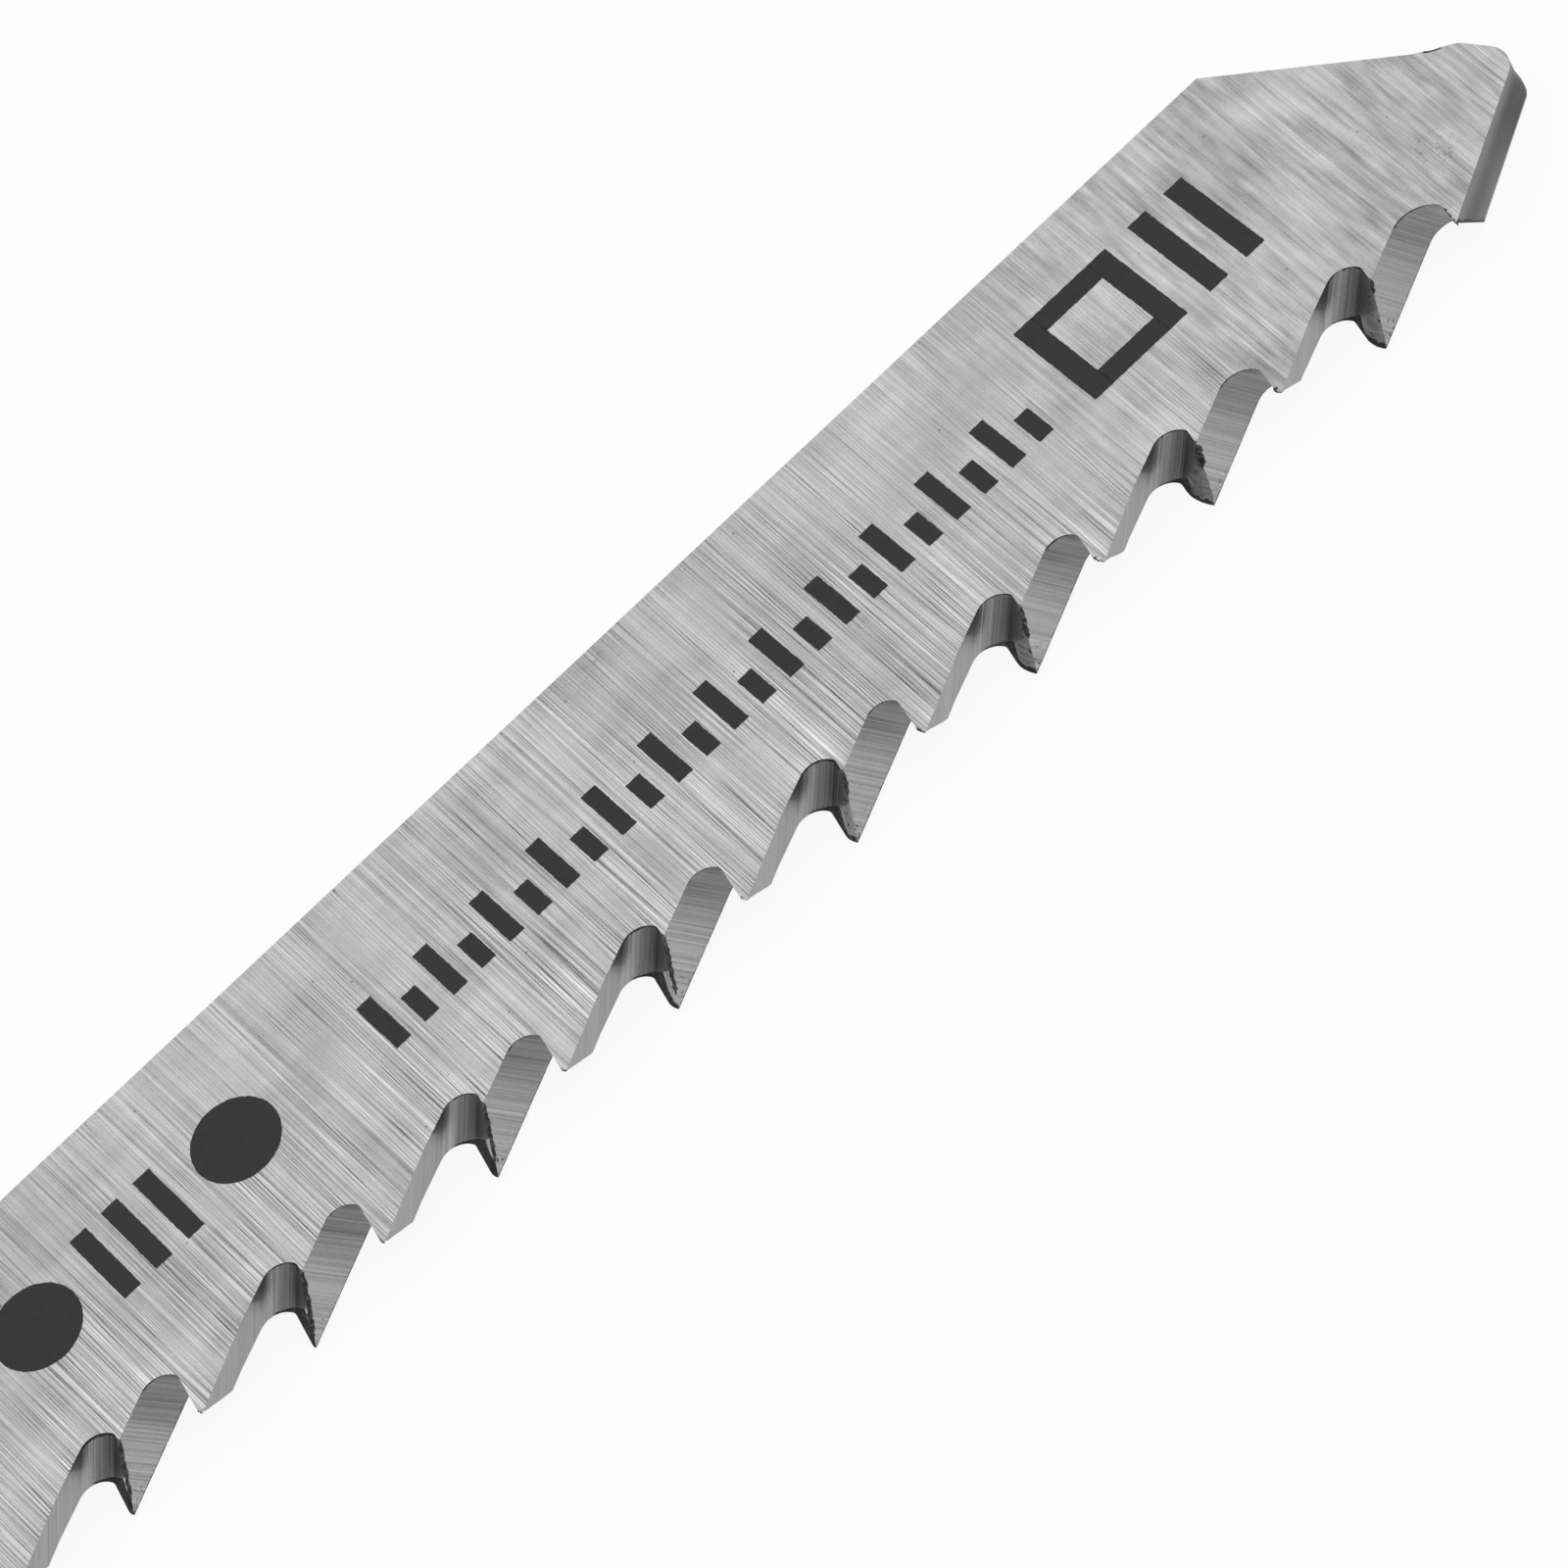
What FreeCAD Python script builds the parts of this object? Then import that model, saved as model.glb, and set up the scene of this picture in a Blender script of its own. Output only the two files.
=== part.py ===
import FreeCAD, Part

import os
import re

import Sketcher

# Jigsaw blade for clean cuts in wood, in millimetres and degrees.
# It is one strip of steel: a stamped shank with two lugs, and a body with ground faces and teeth.
# The blade lies on its side. X runs along it to the tip, Y points to its smooth back, Z is up.
# The origin is half way along the blade, on the shank's axis, in the plane that the shank lies on.

BLADE = "jigsaw_blade"

SIZES = {
    "overall_length": 100.0,
    # Shank, as stamped from the strip
    "shank_length": 25.0,
    "shank_width": 6.35,
    "shank_thickness": 1.45,
    "tang_length": 5.6,
    "tang_width": 4.9,
    "tang_chamfer": 1.2,
    "lug_length": 2.8,
    "lug_span": 10.0,
    "lug_round": 0.5,
    "root_round": 0.4,
    "shoulder_run": 1.5,
    "shoulder_round": 1.5,
    "stamped_round": 0.1,
    # Body, ground on both faces and thinner towards the back
    "back_offset": 3.45,
    "body_width": 7.66,
    "edge_thickness": 1.23,
    "back_thickness": 1.04,
    "ground_from": 27.5,
    "wheel_radius": 40.0,
    "wheel_sweep": 8.5,
    # Tip: a cut in two slopes from the back, a round nose and an end cut down to the last tooth
    "tip_run": 4.47,
    "tip_cut_depth": 3.47,
    "tip_cut_angle": 47.6,
    "tip_step_depth": 4.1,
    "tip_step_angle": 38.0,
    "nose_depth": 5.13,
    "nose_round": 0.4,
    "end_cut_angle": 30.2,
    # Teeth, bevelled to one face and the other in turn
    "tooth_pitch": 2.5,
    "toothed_length": 71.0,
    "tooth_line_lean": 0.46,
    "last_gullet_setback": 3.81,
    "bevel_angle": 28.4,
    "edge_stock": 0.04,
    "gullet_run_out": 0.6,
    # Gullets whose upper ends slant to the shank
    "shankward_depth": 1.34,
    "shankward_round": 0.44,
    "shankward_clearance_angle": 26.9,
    "shankward_rake_angle": 11.2,
    # Gullets whose upper ends slant to the tip, a little nearer to the tip than midway
    "tipward_lead": 0.08,
    "tipward_depth": 1.38,
    "tipward_round": 0.4,
    "tipward_clearance_angle": 25.2,
    "tipward_rake_angle": 13.0,
}

# Places and sizes that follow from those above
DERIVED = {
    "lug_end": "=tang_length + lug_length",
    "body_start": "=shank_length + shoulder_run",
    "last_gullet": "=overall_length - last_gullet_setback",
    "tooth_line": "=back_offset - body_width",
    "edge_start": "=tooth_line - edge_stock + tan(tooth_line_lean) * (last_gullet - body_start)",
    "back_corner": "=overall_length - tip_run",
    "cut_end": "=back_corner + tip_cut_depth / tan(tip_cut_angle)",
    "step_end": "=cut_end + (tip_step_depth - tip_cut_depth) / tan(tip_step_angle)",
    "taper": "=(edge_thickness - back_thickness) / 2 / body_width",
    "ground_height": "=edge_thickness / 2 + taper * tooth_line",
    "wheel_depth": "=wheel_radius * (1 - cos(wheel_sweep))",
    "wheel_run": "=wheel_radius * sin(wheel_sweep)",
    "pattern_step": "=2 * tooth_pitch",
}

ORIGIN = -1
START = 1
END = 2
CENTRE = 3
CORNER_TOLERANCE = 1e-6

document = FreeCAD.newDocument("JigsawBlade")
sheet = document.addObject("Spreadsheet::Sheet", "dims")
body = document.addObject("PartDesign::Body", BLADE)


def fill_sheet():
    """Give each size a row of the sheet with its alias, and the derived ones the rows below."""
    for row, (alias, value) in enumerate({**SIZES, **DERIVED}.items(), 1):
        sheet.set(f"A{row}", alias.replace("_", " "))
        sheet.setAlias(f"B{row}", alias)
        sheet.set(f"B{row}", str(value))
    document.recompute()


def bind(thing, path, expression):
    """Bind a property to an expression written with the sheet's aliases."""
    thing.setExpression(path, re.sub("[a-z]+(_[a-z]+)+|taper", r"dims.\g<0>", expression))


def value_of(expression):
    return float(sheet.evalExpression(expression))


def origin_plane(role):
    return next(item for item in body.Origin.OriginFeatures if item.Role == role)


def add_sketch(name, role):
    sketch = body.newObject("Sketcher::SketchObject", name)
    sketch.AttachmentSupport = (origin_plane(role), "")
    sketch.MapMode = "FlatFace"
    return sketch


def add_line(sketch, start, end):
    ends = [FreeCAD.Vector(value_of(x), value_of(y), 0) for x, y in (start, end)]
    return sketch.addGeometry(Part.LineSegment(*ends))


def add_arc(sketch, centre, radius, first, last):
    """Add an arc that runs counter-clockwise from the first angle to the last, in degrees."""
    middle = FreeCAD.Vector(value_of(centre[0]), value_of(centre[1]), 0)
    circle = Part.Circle(middle, FreeCAD.Vector(0, 0, 1), value_of(radius))
    ends = [value_of(f"({angle}) * pi / 180") for angle in (first, last)]
    return sketch.addGeometry(Part.ArcOfCircle(circle, *ends))


def on_circle(centre, radius, angle):
    """Place of the point at an angle in degrees on a circle."""
    return f"{centre[0]} + {radius} * cos({angle})", f"{centre[1]} + {radius} * sin({angle})"


def constrain(sketch, name, expression, kind, *where):
    """Add a dimension to a sketch and bind it to the sheet."""
    number = sketch.addConstraint(Sketcher.Constraint(kind, *where, value_of(expression)))
    sketch.renameConstraint(number, name)
    bind(sketch, f"Constraints.{name}", expression)


def constrain_angle(sketch, name, expression, line):
    """Set the angle in degrees between a line and the sketch's horizontal axis."""
    radians = value_of(f"({expression}) * pi / 180")
    number = sketch.addConstraint(Sketcher.Constraint("Angle", line, radians))
    sketch.renameConstraint(number, name)
    bind(sketch, f"Constraints.{name}", expression)


def pin(sketch, name, element, end, x, y):
    """Set both coordinates of a point."""
    constrain(sketch, f"{name}_x", x, "DistanceX", ORIGIN, START, element, end)
    constrain(sketch, f"{name}_y", y, "DistanceY", ORIGIN, START, element, end)


def join_ring(sketch, elements, tangents=()):
    """Join each element's end to the next one's start, smoothly at the elements that are tangents."""
    for first, second in zip(elements, elements[1:] + elements[:1]):
        smooth = first in tangents or second in tangents
        kind = "Tangent" if smooth else "Coincident"
        sketch.addConstraint(Sketcher.Constraint(kind, first, END, second, START))


def blank_outline():
    """Draw the blank from the shank's end along the toothed side, round the tip and back."""
    sketch = add_sketch("blank_outline", "XY_Plane")
    toothed_side = [
        ("0", "tang_chamfer - tang_width / 2"),
        ("tang_chamfer", "-tang_width / 2"),
        ("tang_length", "-tang_width / 2"),
        ("tang_length", "-lug_span / 2"),
        ("lug_end", "-lug_span / 2"),
        ("lug_end", "-shank_width / 2"),
        ("shank_length", "-shank_width / 2"),
        ("body_start", "edge_start"),
    ]
    back_side = [
        ("step_end", "back_offset - tip_step_depth"),
        ("cut_end", "back_offset - tip_cut_depth"),
        ("back_corner", "back_offset"),
        ("body_start", "back_offset"),
        ("shank_length", "shank_width / 2"),
        ("lug_end", "shank_width / 2"),
        ("lug_end", "lug_span / 2"),
        ("tang_length", "lug_span / 2"),
        ("tang_length", "tang_width / 2"),
        ("tang_chamfer", "tang_width / 2"),
        ("0", "tang_width / 2 - tang_chamfer"),
    ]
    nose_centre = ("overall_length - nose_round", "back_offset - nose_depth")
    nose_angles = ("end_cut_angle - 90", "tip_step_angle")
    nose_ends = [on_circle(nose_centre, "nose_round", angle) for angle in nose_angles]
    end_cut_foot = ("last_gullet", "tooth_line - edge_stock")

    near = [add_line(sketch, *ends) for ends in zip(toothed_side, toothed_side[1:])]
    toothed_edge = add_line(sketch, toothed_side[-1], end_cut_foot)
    end_cut = add_line(sketch, end_cut_foot, nose_ends[0])
    nose = add_arc(sketch, nose_centre, "nose_round", *nose_angles)
    nose_slope = add_line(sketch, nose_ends[1], back_side[0])
    far = [add_line(sketch, *ends) for ends in zip(back_side, back_side[1:])]
    shank_end = add_line(sketch, back_side[-1], toothed_side[0])

    join_ring(sketch, near + [toothed_edge, end_cut, nose, nose_slope] + far + [shank_end], [nose])
    for element, place in zip(near + [toothed_edge], toothed_side):
        pin(sketch, f"toothed_side_{element}", element, START, *place)
    for element, place in zip(far + [shank_end], back_side):
        pin(sketch, f"back_side_{element}", element, START, *place)
    pin(sketch, "nose", nose, CENTRE, *nose_centre)
    constrain(sketch, "nose_radius", "nose_round", "Radius", nose)
    constrain_angle(sketch, "toothed_edge_lean", "-tooth_line_lean", toothed_edge)
    constrain_angle(sketch, "end_cut_lean", "end_cut_angle", end_cut)
    return sketch


def upright_edges(shape, corners):
    """Name the edges that stand at the given corners, on both sides of the shank's axis."""
    places = [(value_of(x), side * value_of(y)) for x, y in corners for side in (1, -1)]
    names = []
    for number, edge in enumerate(shape.Edges, 1):
        middle = edge.BoundBox.Center
        flat_length = edge.BoundBox.XLength + edge.BoundBox.YLength
        gaps = [abs(middle.x - x) + abs(middle.y - y) for x, y in places]
        if flat_length + min(gaps) < CORNER_TOLERANCE:
            names.append(f"Edge{number}")
    return names


def round_corners(name, radius, corners):
    rounding = body.newObject("PartDesign::Fillet", name)
    rounding.Base = (rounding.BaseFeature, upright_edges(rounding.BaseFeature.Shape, corners))
    bind(rounding, "Radius", radius)
    document.recompute()


def stamp_blank():
    """Make the blank at the full thickness of the strip, with the corners that its die rounds."""
    strip = body.newObject("PartDesign::Pad", "strip")
    strip.Profile = blank_outline()
    strip.Midplane = True
    bind(strip, "Length", "shank_thickness")
    document.recompute()

    lugs = [("tang_length", "lug_span / 2"), ("lug_end", "lug_span / 2")]
    roots = [("tang_length", "tang_width / 2"), ("lug_end", "shank_width / 2")]
    round_corners("lug_corners", "lug_round", lugs)
    round_corners("lug_roots", "root_round", roots)
    round_corners("shoulders", "shoulder_round", [("shank_length", "shank_width / 2")])

    rim = body.newObject("PartDesign::Fillet", "stamped_rim")
    faces = rim.BaseFeature.Shape.Faces
    highest = max(range(len(faces)), key=lambda number: faces[number].CenterOfMass.z)
    rim.Base = (rim.BaseFeature, [f"Face{highest + 1}"])
    bind(rim, "Radius", "stamped_round")
    document.recompute()


def cut_through(name, sketch, length, direction):
    """Cut a sketch's shape through the blade along a slanted direction, equally both ways."""
    cut = body.newObject("PartDesign::Pocket", name)
    cut.Profile = sketch
    cut.Midplane = True
    cut.UseCustomVector = True
    cut.AlongSketchNormal = False
    bind(cut, "Length", length)
    for axis, expression in zip("xyz", direction):
        bind(cut, f"Direction.{axis}", expression)
    return cut


def grind_faces():
    """Grind both faces to the body's taper, with the wheel's run-out at the shank."""
    sketch = add_sketch("grinding_wheel", "XZ_Plane")
    top = "ground_height + wheel_depth"
    corners = [
        ("ground_from", "ground_height"),
        ("overall_length + wheel_depth", "ground_height"),
        ("overall_length + wheel_depth", top),
        ("ground_from - wheel_run", top),
    ]
    wheel_centre = ("ground_from", "ground_height + wheel_radius")
    lines = [add_line(sketch, *ends) for ends in zip(corners, corners[1:])]
    rim = add_arc(sketch, wheel_centre, "wheel_radius", "-90 - wheel_sweep", "-90")
    join_ring(sketch, lines + [rim])
    for line, place in zip(lines, corners):
        pin(sketch, f"corner_{line}", line, START, *place)
    pin(sketch, "rim_start", rim, START, *corners[-1])
    constrain(sketch, "rim_radius", "wheel_radius", "Radius", rim)

    ground_face = cut_through("ground_face", sketch, "3 * lug_span", ("0", "1", "-taper"))
    document.recompute()
    both_faces = body.newObject("PartDesign::Mirrored", "both_faces")
    both_faces.Originals = [ground_face]
    both_faces.MirrorPlane = (origin_plane("XY_Plane"), [""])
    body.Tip = both_faces
    document.recompute()


def gullet_outline(kind, setback):
    """Draw one gullet in its place on the leaning line of the tooth points."""
    depth, radius, clearance_angle, rake_angle = (
        f"{kind}_{size}" for size in ("depth", "round", "clearance_angle", "rake_angle")
    )
    sketch = add_sketch(f"{kind}_gullet_outline", "XY_Plane")
    bind(sketch, "AttachmentOffset.Base.x", f"last_gullet - {setback} * cos(tooth_line_lean)")
    bind(sketch, "AttachmentOffset.Base.y", f"tooth_line + {setback} * sin(tooth_line_lean)")
    bind(sketch, "AttachmentOffset.Rotation.Angle", "-tooth_line_lean")

    centre = ("0", f"{depth} - {radius}")
    arc_angles = (f"-{rake_angle}", f"90 + {clearance_angle}")
    arc_ends = [on_circle(centre, radius, angle) for angle in arc_angles]
    back_foot = (f"-{depth} / tan({clearance_angle})", "-gullet_run_out")
    rake_foot = (radius, "-gullet_run_out")
    floor = add_line(sketch, back_foot, rake_foot)
    rake = add_line(sketch, rake_foot, arc_ends[0])
    arc = add_arc(sketch, centre, radius, *arc_angles)
    back = add_line(sketch, arc_ends[1], back_foot)
    join_ring(sketch, [floor, rake, arc, back], [arc])
    pin(sketch, "centre", arc, CENTRE, *centre)
    constrain(sketch, "radius", radius, "Radius", arc)
    constrain(sketch, "run_out", "-gullet_run_out", "DistanceY", ORIGIN, START, floor, START)
    sketch.addConstraint(Sketcher.Constraint("Horizontal", floor))
    constrain_angle(sketch, "rake", f"90 - {rake_angle}", rake)
    constrain_angle(sketch, "clearance", f"{clearance_angle} - 180", back)
    return sketch


def grind_gullets(kind, setback, slant):
    """Grind every other gullet from the tip to the shank, its upper end slanted one way."""
    sketch = gullet_outline(kind, setback)
    along = f"{slant} * tan(bevel_angle) * cos(tooth_line_lean)"
    across = f"-({slant}) * tan(bevel_angle) * sin(tooth_line_lean)"
    gullet = cut_through(f"{kind}_gullet", sketch, "3 * shank_thickness", (along, across, "1"))
    document.recompute()

    row = body.newObject("PartDesign::LinearPattern", f"{kind}_gullets")
    row.Originals = [gullet]
    row.Direction = (sketch, ["H_Axis"])
    row.Reversed = True
    row.Mode = "Spacing"
    bind(row, "Offset", "pattern_step")
    bind(row, "Occurrences", "floor(toothed_length / pattern_step)")
    body.Tip = row
    document.recompute()


def lay_down():
    """Set the finished blade on the ground plane with its middle over the origin."""
    bind(body, "Placement.Base.x", "-overall_length / 2")
    bind(body, "Placement.Base.z", "shank_thickness / 2")
    document.recompute()


def check_document():
    """Stop if any feature failed or if the blade isn't one valid solid."""
    for item in document.Objects:
        if "Invalid" in item.State or "Error" in item.State:
            raise RuntimeError(f"{item.Label} failed: {item.State}")
    if body.Shape.isNull() or not body.Shape.isValid() or len(body.Shape.Solids) != 1:
        raise RuntimeError("The blade isn't one valid solid")


fill_sheet()
stamp_blank()
grind_faces()
grind_gullets("shankward", "0", "-1")
grind_gullets("tipward", "(tooth_pitch - tipward_lead)", "1")
lay_down()
check_document()

os.makedirs("parts", exist_ok=True)
body.Label = BLADE
body.Shape.exportStep(f"parts/{BLADE}.step")

box = body.Shape.BoundBox
print(f"{BLADE}: {box.XLength:.2f} x {box.YLength:.2f} x {box.ZLength:.2f} mm")
print(f"volume {body.Shape.Volume:.2f} mm3, {len(body.Shape.Faces)} faces")
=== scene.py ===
import math
import random

import bmesh
import bpy
from mathutils import Matrix, Vector


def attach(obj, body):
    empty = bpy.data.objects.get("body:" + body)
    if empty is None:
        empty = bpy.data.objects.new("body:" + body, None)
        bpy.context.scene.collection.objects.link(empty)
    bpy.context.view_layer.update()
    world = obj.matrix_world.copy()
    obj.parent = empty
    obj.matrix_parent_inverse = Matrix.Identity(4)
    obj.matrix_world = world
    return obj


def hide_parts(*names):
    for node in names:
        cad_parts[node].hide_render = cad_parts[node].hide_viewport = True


# Jigsaw blade with a stamped shank, ground faces and bevel-ground teeth, lying on a white table.
# The blade is modelled in millimetres from its shank end and set down in metres at the end.
# X runs along it to the tip, Y points to its smooth back, Z is up.

MM = 0.001

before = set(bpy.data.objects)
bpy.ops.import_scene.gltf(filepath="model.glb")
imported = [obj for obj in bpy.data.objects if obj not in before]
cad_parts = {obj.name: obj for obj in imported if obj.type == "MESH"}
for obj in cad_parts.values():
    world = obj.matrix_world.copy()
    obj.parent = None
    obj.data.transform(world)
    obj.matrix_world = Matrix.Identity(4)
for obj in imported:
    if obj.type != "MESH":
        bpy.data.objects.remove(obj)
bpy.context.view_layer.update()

# Sizes of the blade, the same ones that its solid has
LENGTH = 100.0
SHANK_LENGTH = 25.0
SHANK_WIDTH = 6.35
STRIP_THICKNESS = 1.45
TANG_LENGTH = 5.6
TANG_WIDTH = 4.9
TANG_CHAMFER = 1.2
LUG_LENGTH = 2.8
LUG_SPAN = 10.0
LUG_ROUND = 0.5
ROOT_ROUND = 0.4
SHOULDER_RUN = 1.5
SHOULDER_ROUND = 1.5
STAMPED_ROUND = 0.1
BACK = 3.45
BODY_WIDTH = 7.66
EDGE_THICKNESS = 1.23
BACK_THICKNESS = 1.04
GROUND_FROM = 27.5
WHEEL_RADIUS = 40.0
WHEEL_SWEEP = math.radians(8.5)
TIP_RUN = 4.47
TIP_CUT_DEPTH = 3.47
TIP_CUT_ANGLE = math.radians(47.6)
TIP_STEP_DEPTH = 4.1
TIP_STEP_ANGLE = math.radians(38.0)
NOSE_DEPTH = 5.13
NOSE_ROUND = 0.4
END_CUT_ANGLE = math.radians(30.2)
PITCH = 2.5
GULLETS_OF_EACH_KIND = 14
LINE_LEAN = math.radians(0.46)
LAST_GULLET = LENGTH - 3.81
RUN_OUT = 0.6
# The edge has a little more stock than the solid's, which the bent backs below need
EDGE_STOCK = 0.09
# The punch leaves the step's corner round, and the nose rounder towards the upper face
STEP_ROUND = 0.35
LOWER_NOSE_ROUND, UPPER_NOSE_ROUND = 0.45, 0.62

# The two kinds of gullet: the last one slants towards the shank, the next one to the tip, and so on.
# The two rows that the photograph shows drift apart a little, up to the last gullet that it shows.
GULLET_KINDS = {
    "to_shank": {
        "depth": 1.32, "round": 0.4, "clearance": math.radians(26.9), "rake": math.radians(11.2),
        "bevel": math.radians(-28.1), "setback": 0.025, "step": 4.992, "rise": 0.0066,
    },
    "to_tip": {
        "depth": 1.413, "round": 0.403, "clearance": math.radians(25.2), "rake": math.radians(13.0),
        "bevel": math.radians(28.6), "setback": 2.56, "step": 4.9605, "rise": -0.0081,
    },
}
LAST_SHOWN = 7
# The backs of the teeth that point to the upper face fall off a little, from so far below the round
BACK_BENDS = {"to_shank": 0.0, "to_tip": math.radians(3.8)}
BEND_START = 1.1
# The round tops of the gullets that slant towards the shank, from the tip on
SHANKWARD_ROUNDS = (0.6, 0.49, 0.4, 0.37, 0.4, 0.4, 0.41, 0.44)
# A top is a wide arc that ends in a tight one at the cutting wall, in shares of its round
WIDE_ARC, TIGHT_ARC, TOP_DROP = 1.3, 0.37, 0.12

# How far the points at the lower face are worn back along the tooth's back, from the tip on
LOWER_WEAR = (0.27, 0.4, 0.27, 0.17, 0.14, 0.11, 0.05, 0.08)
# The same for the points at the upper face
UPPER_WEAR = (0.11, 0.17, 0.14, 0.11, 0.09, 0.07, 0.08, 0.08)
# What is worn at the other end of a tooth's edge, and the height over which that fades in
SLIGHT_WEAR, WEAR_FADE = 0.05, 0.6
# How far wear reaches up the cutting wall, and where it bends, in shares of that along the back
WALL_WEAR, WEAR_BEND = 2.5, 1.5
# Rolls of torn metal on the teeth that point to the lower face, from their upper end down
ROLL_ROUNDS = (0.045, 0.09, 0.06, 0.045, 0.05, 0.048, 0.06, 0.045)
ROLL_LENGTHS = (0.22, 0.4, 0.55, 0.4, 0.95, 0.95, 1.0, 0.95)
# Turned lips on the teeth that point to the upper face, and on the last tooth, from the tip on
LIP_ROUNDS = (0.055, 0.04, 0.026, 0.035, 0.022, 0.018, 0.02, 0.022)
LAST_LIP_ROUND = 0.03
INK_THICKNESS = 0.014

# How far a cutter reaches beyond a surface that it cuts, and beyond a corner
PAST_SURFACE, PAST_CORNER = 0.4, 0.8
ROUND_SEGMENTS, STEP_SEGMENTS, RIM_SEGMENTS = 8, 6, 4
SHARP_FROM = math.radians(16)

TOOTH_LINE = BACK - BODY_WIDTH
BODY_START = SHANK_LENGTH + SHOULDER_RUN
MIDDLE = STRIP_THICKNESS / 2
TAPER = (EDGE_THICKNESS - BACK_THICKNESS) / 2 / BODY_WIDTH
GROUND_HEIGHT = EDGE_THICKNESS / 2 + TAPER * TOOTH_LINE

# Places of the blade's material slots
STAMPED, SIDE, TO_SHANK, TO_TIP, EDGE, END_CUT, WORN_FACE, NICK = range(8)

# From the tooth line's frame, X towards the tip and Z up from the middle, to the blade's
TOOTH_FRAME = Matrix.Translation((LAST_GULLET, TOOTH_LINE, MIDDLE)) @ Matrix.Rotation(-LINE_LEAN, 4, "Z")


def make_object(name, bm):
    """Put a finished mesh into the scene as an object."""
    mesh = bpy.data.meshes.new(name)
    bm.normal_update()
    bm.to_mesh(mesh)
    bm.free()
    thing = bpy.data.objects.new(name, mesh)
    bpy.context.scene.collection.objects.link(thing)
    return thing


def add_to(bm, part):
    """Move a part's mesh into a larger one."""
    mesh = bpy.data.meshes.new("part")
    part.to_mesh(mesh)
    part.free()
    bm.from_mesh(mesh)
    bpy.data.meshes.remove(mesh)


def loft(rings, material):
    """A closed block through rings of points, each ring beyond the one before it."""
    bm = bmesh.new()
    first = end = bm.faces.new([bm.verts.new(place) for place in rings[0]])
    for ring in rings[1:]:
        lifted = bmesh.ops.extrude_face_region(bm, geom=[end])["geom"]
        if end is not first:
            bm.faces.remove(end)
        end = next(item for item in lifted if isinstance(item, bmesh.types.BMFace))
        for corner, place in zip(end.verts, ring):
            corner.co = place
    bmesh.ops.recalc_face_normals(bm, faces=bm.faces)
    for face in bm.faces:
        face.material_index = material
    return bm


def prism(outline, low, high, material):
    """A closed block with a flat outline, between two heights."""
    return loft([[(x, y, level) for x, y in outline] for level in (low, high)], material)


def round_corners(bm, places, radius, segments=ROUND_SEGMENTS):
    """Round the upright edges that stand at the given places."""
    edges = []
    offset = 0
    for edge in bm.edges:
        first, second = (v.co for v in edge.verts)
        upright = (first.xy - second.xy).length < 1e-4
        if upright and any((first.xy - Vector(p)).length < 1e-3 for p in places):
            edges.append(edge)
            offset = radius * math.tan(edge.calc_face_angle() / 2)
    bmesh.ops.bevel(
        bm, geom=edges, offset=offset, offset_type="OFFSET", affect="EDGES",
        segments=segments, profile=0.5, material=-1, clamp_overlap=False,
    )


def smooth_share(value, start, end):
    """How far a value has come from a start to an end, from 0 to 1, with soft ends."""
    share = min(max((value - start) / (end - start), 0), 1)
    return share * share * (3 - 2 * share)


def at_angle(angle):
    """A step of length 1 in the given direction."""
    return Vector((math.cos(angle), math.sin(angle)))


def meeting_point(first, second):
    """Where two lines meet, each given by a place and a direction."""
    (start, way), (other, other_way) = first, second
    across = way.x * other_way.y - way.y * other_way.x
    gap = other - start
    return start + way * ((gap.x * other_way.y - gap.y * other_way.x) / across)


def ground_height(y):
    """Height of the upper ground face."""
    return MIDDLE + BACK_THICKNESS / 2 + TAPER * (BACK - y)


def nose_lines():
    """The two straight lines that meet at the nose: down the tip's slope, and up its end cut."""
    cut_end = LENGTH - TIP_RUN + TIP_CUT_DEPTH / math.tan(TIP_CUT_ANGLE)
    step_end = cut_end + (TIP_STEP_DEPTH - TIP_CUT_DEPTH) / math.tan(TIP_STEP_ANGLE)
    step = Vector((step_end, BACK - TIP_STEP_DEPTH))
    centre = Vector((LENGTH - NOSE_ROUND, BACK - NOSE_DEPTH))
    to_step = step - centre
    slope_normal = math.atan2(to_step.y, to_step.x) - math.acos(NOSE_ROUND / to_step.length)
    slope_way = Vector((math.sin(slope_normal), -math.cos(slope_normal)))
    cut_way = at_angle(END_CUT_ANGLE)
    cut_place = centre + NOSE_ROUND * Vector((cut_way.y, -cut_way.x))
    return (step, slope_way), (cut_place, cut_way)


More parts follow.
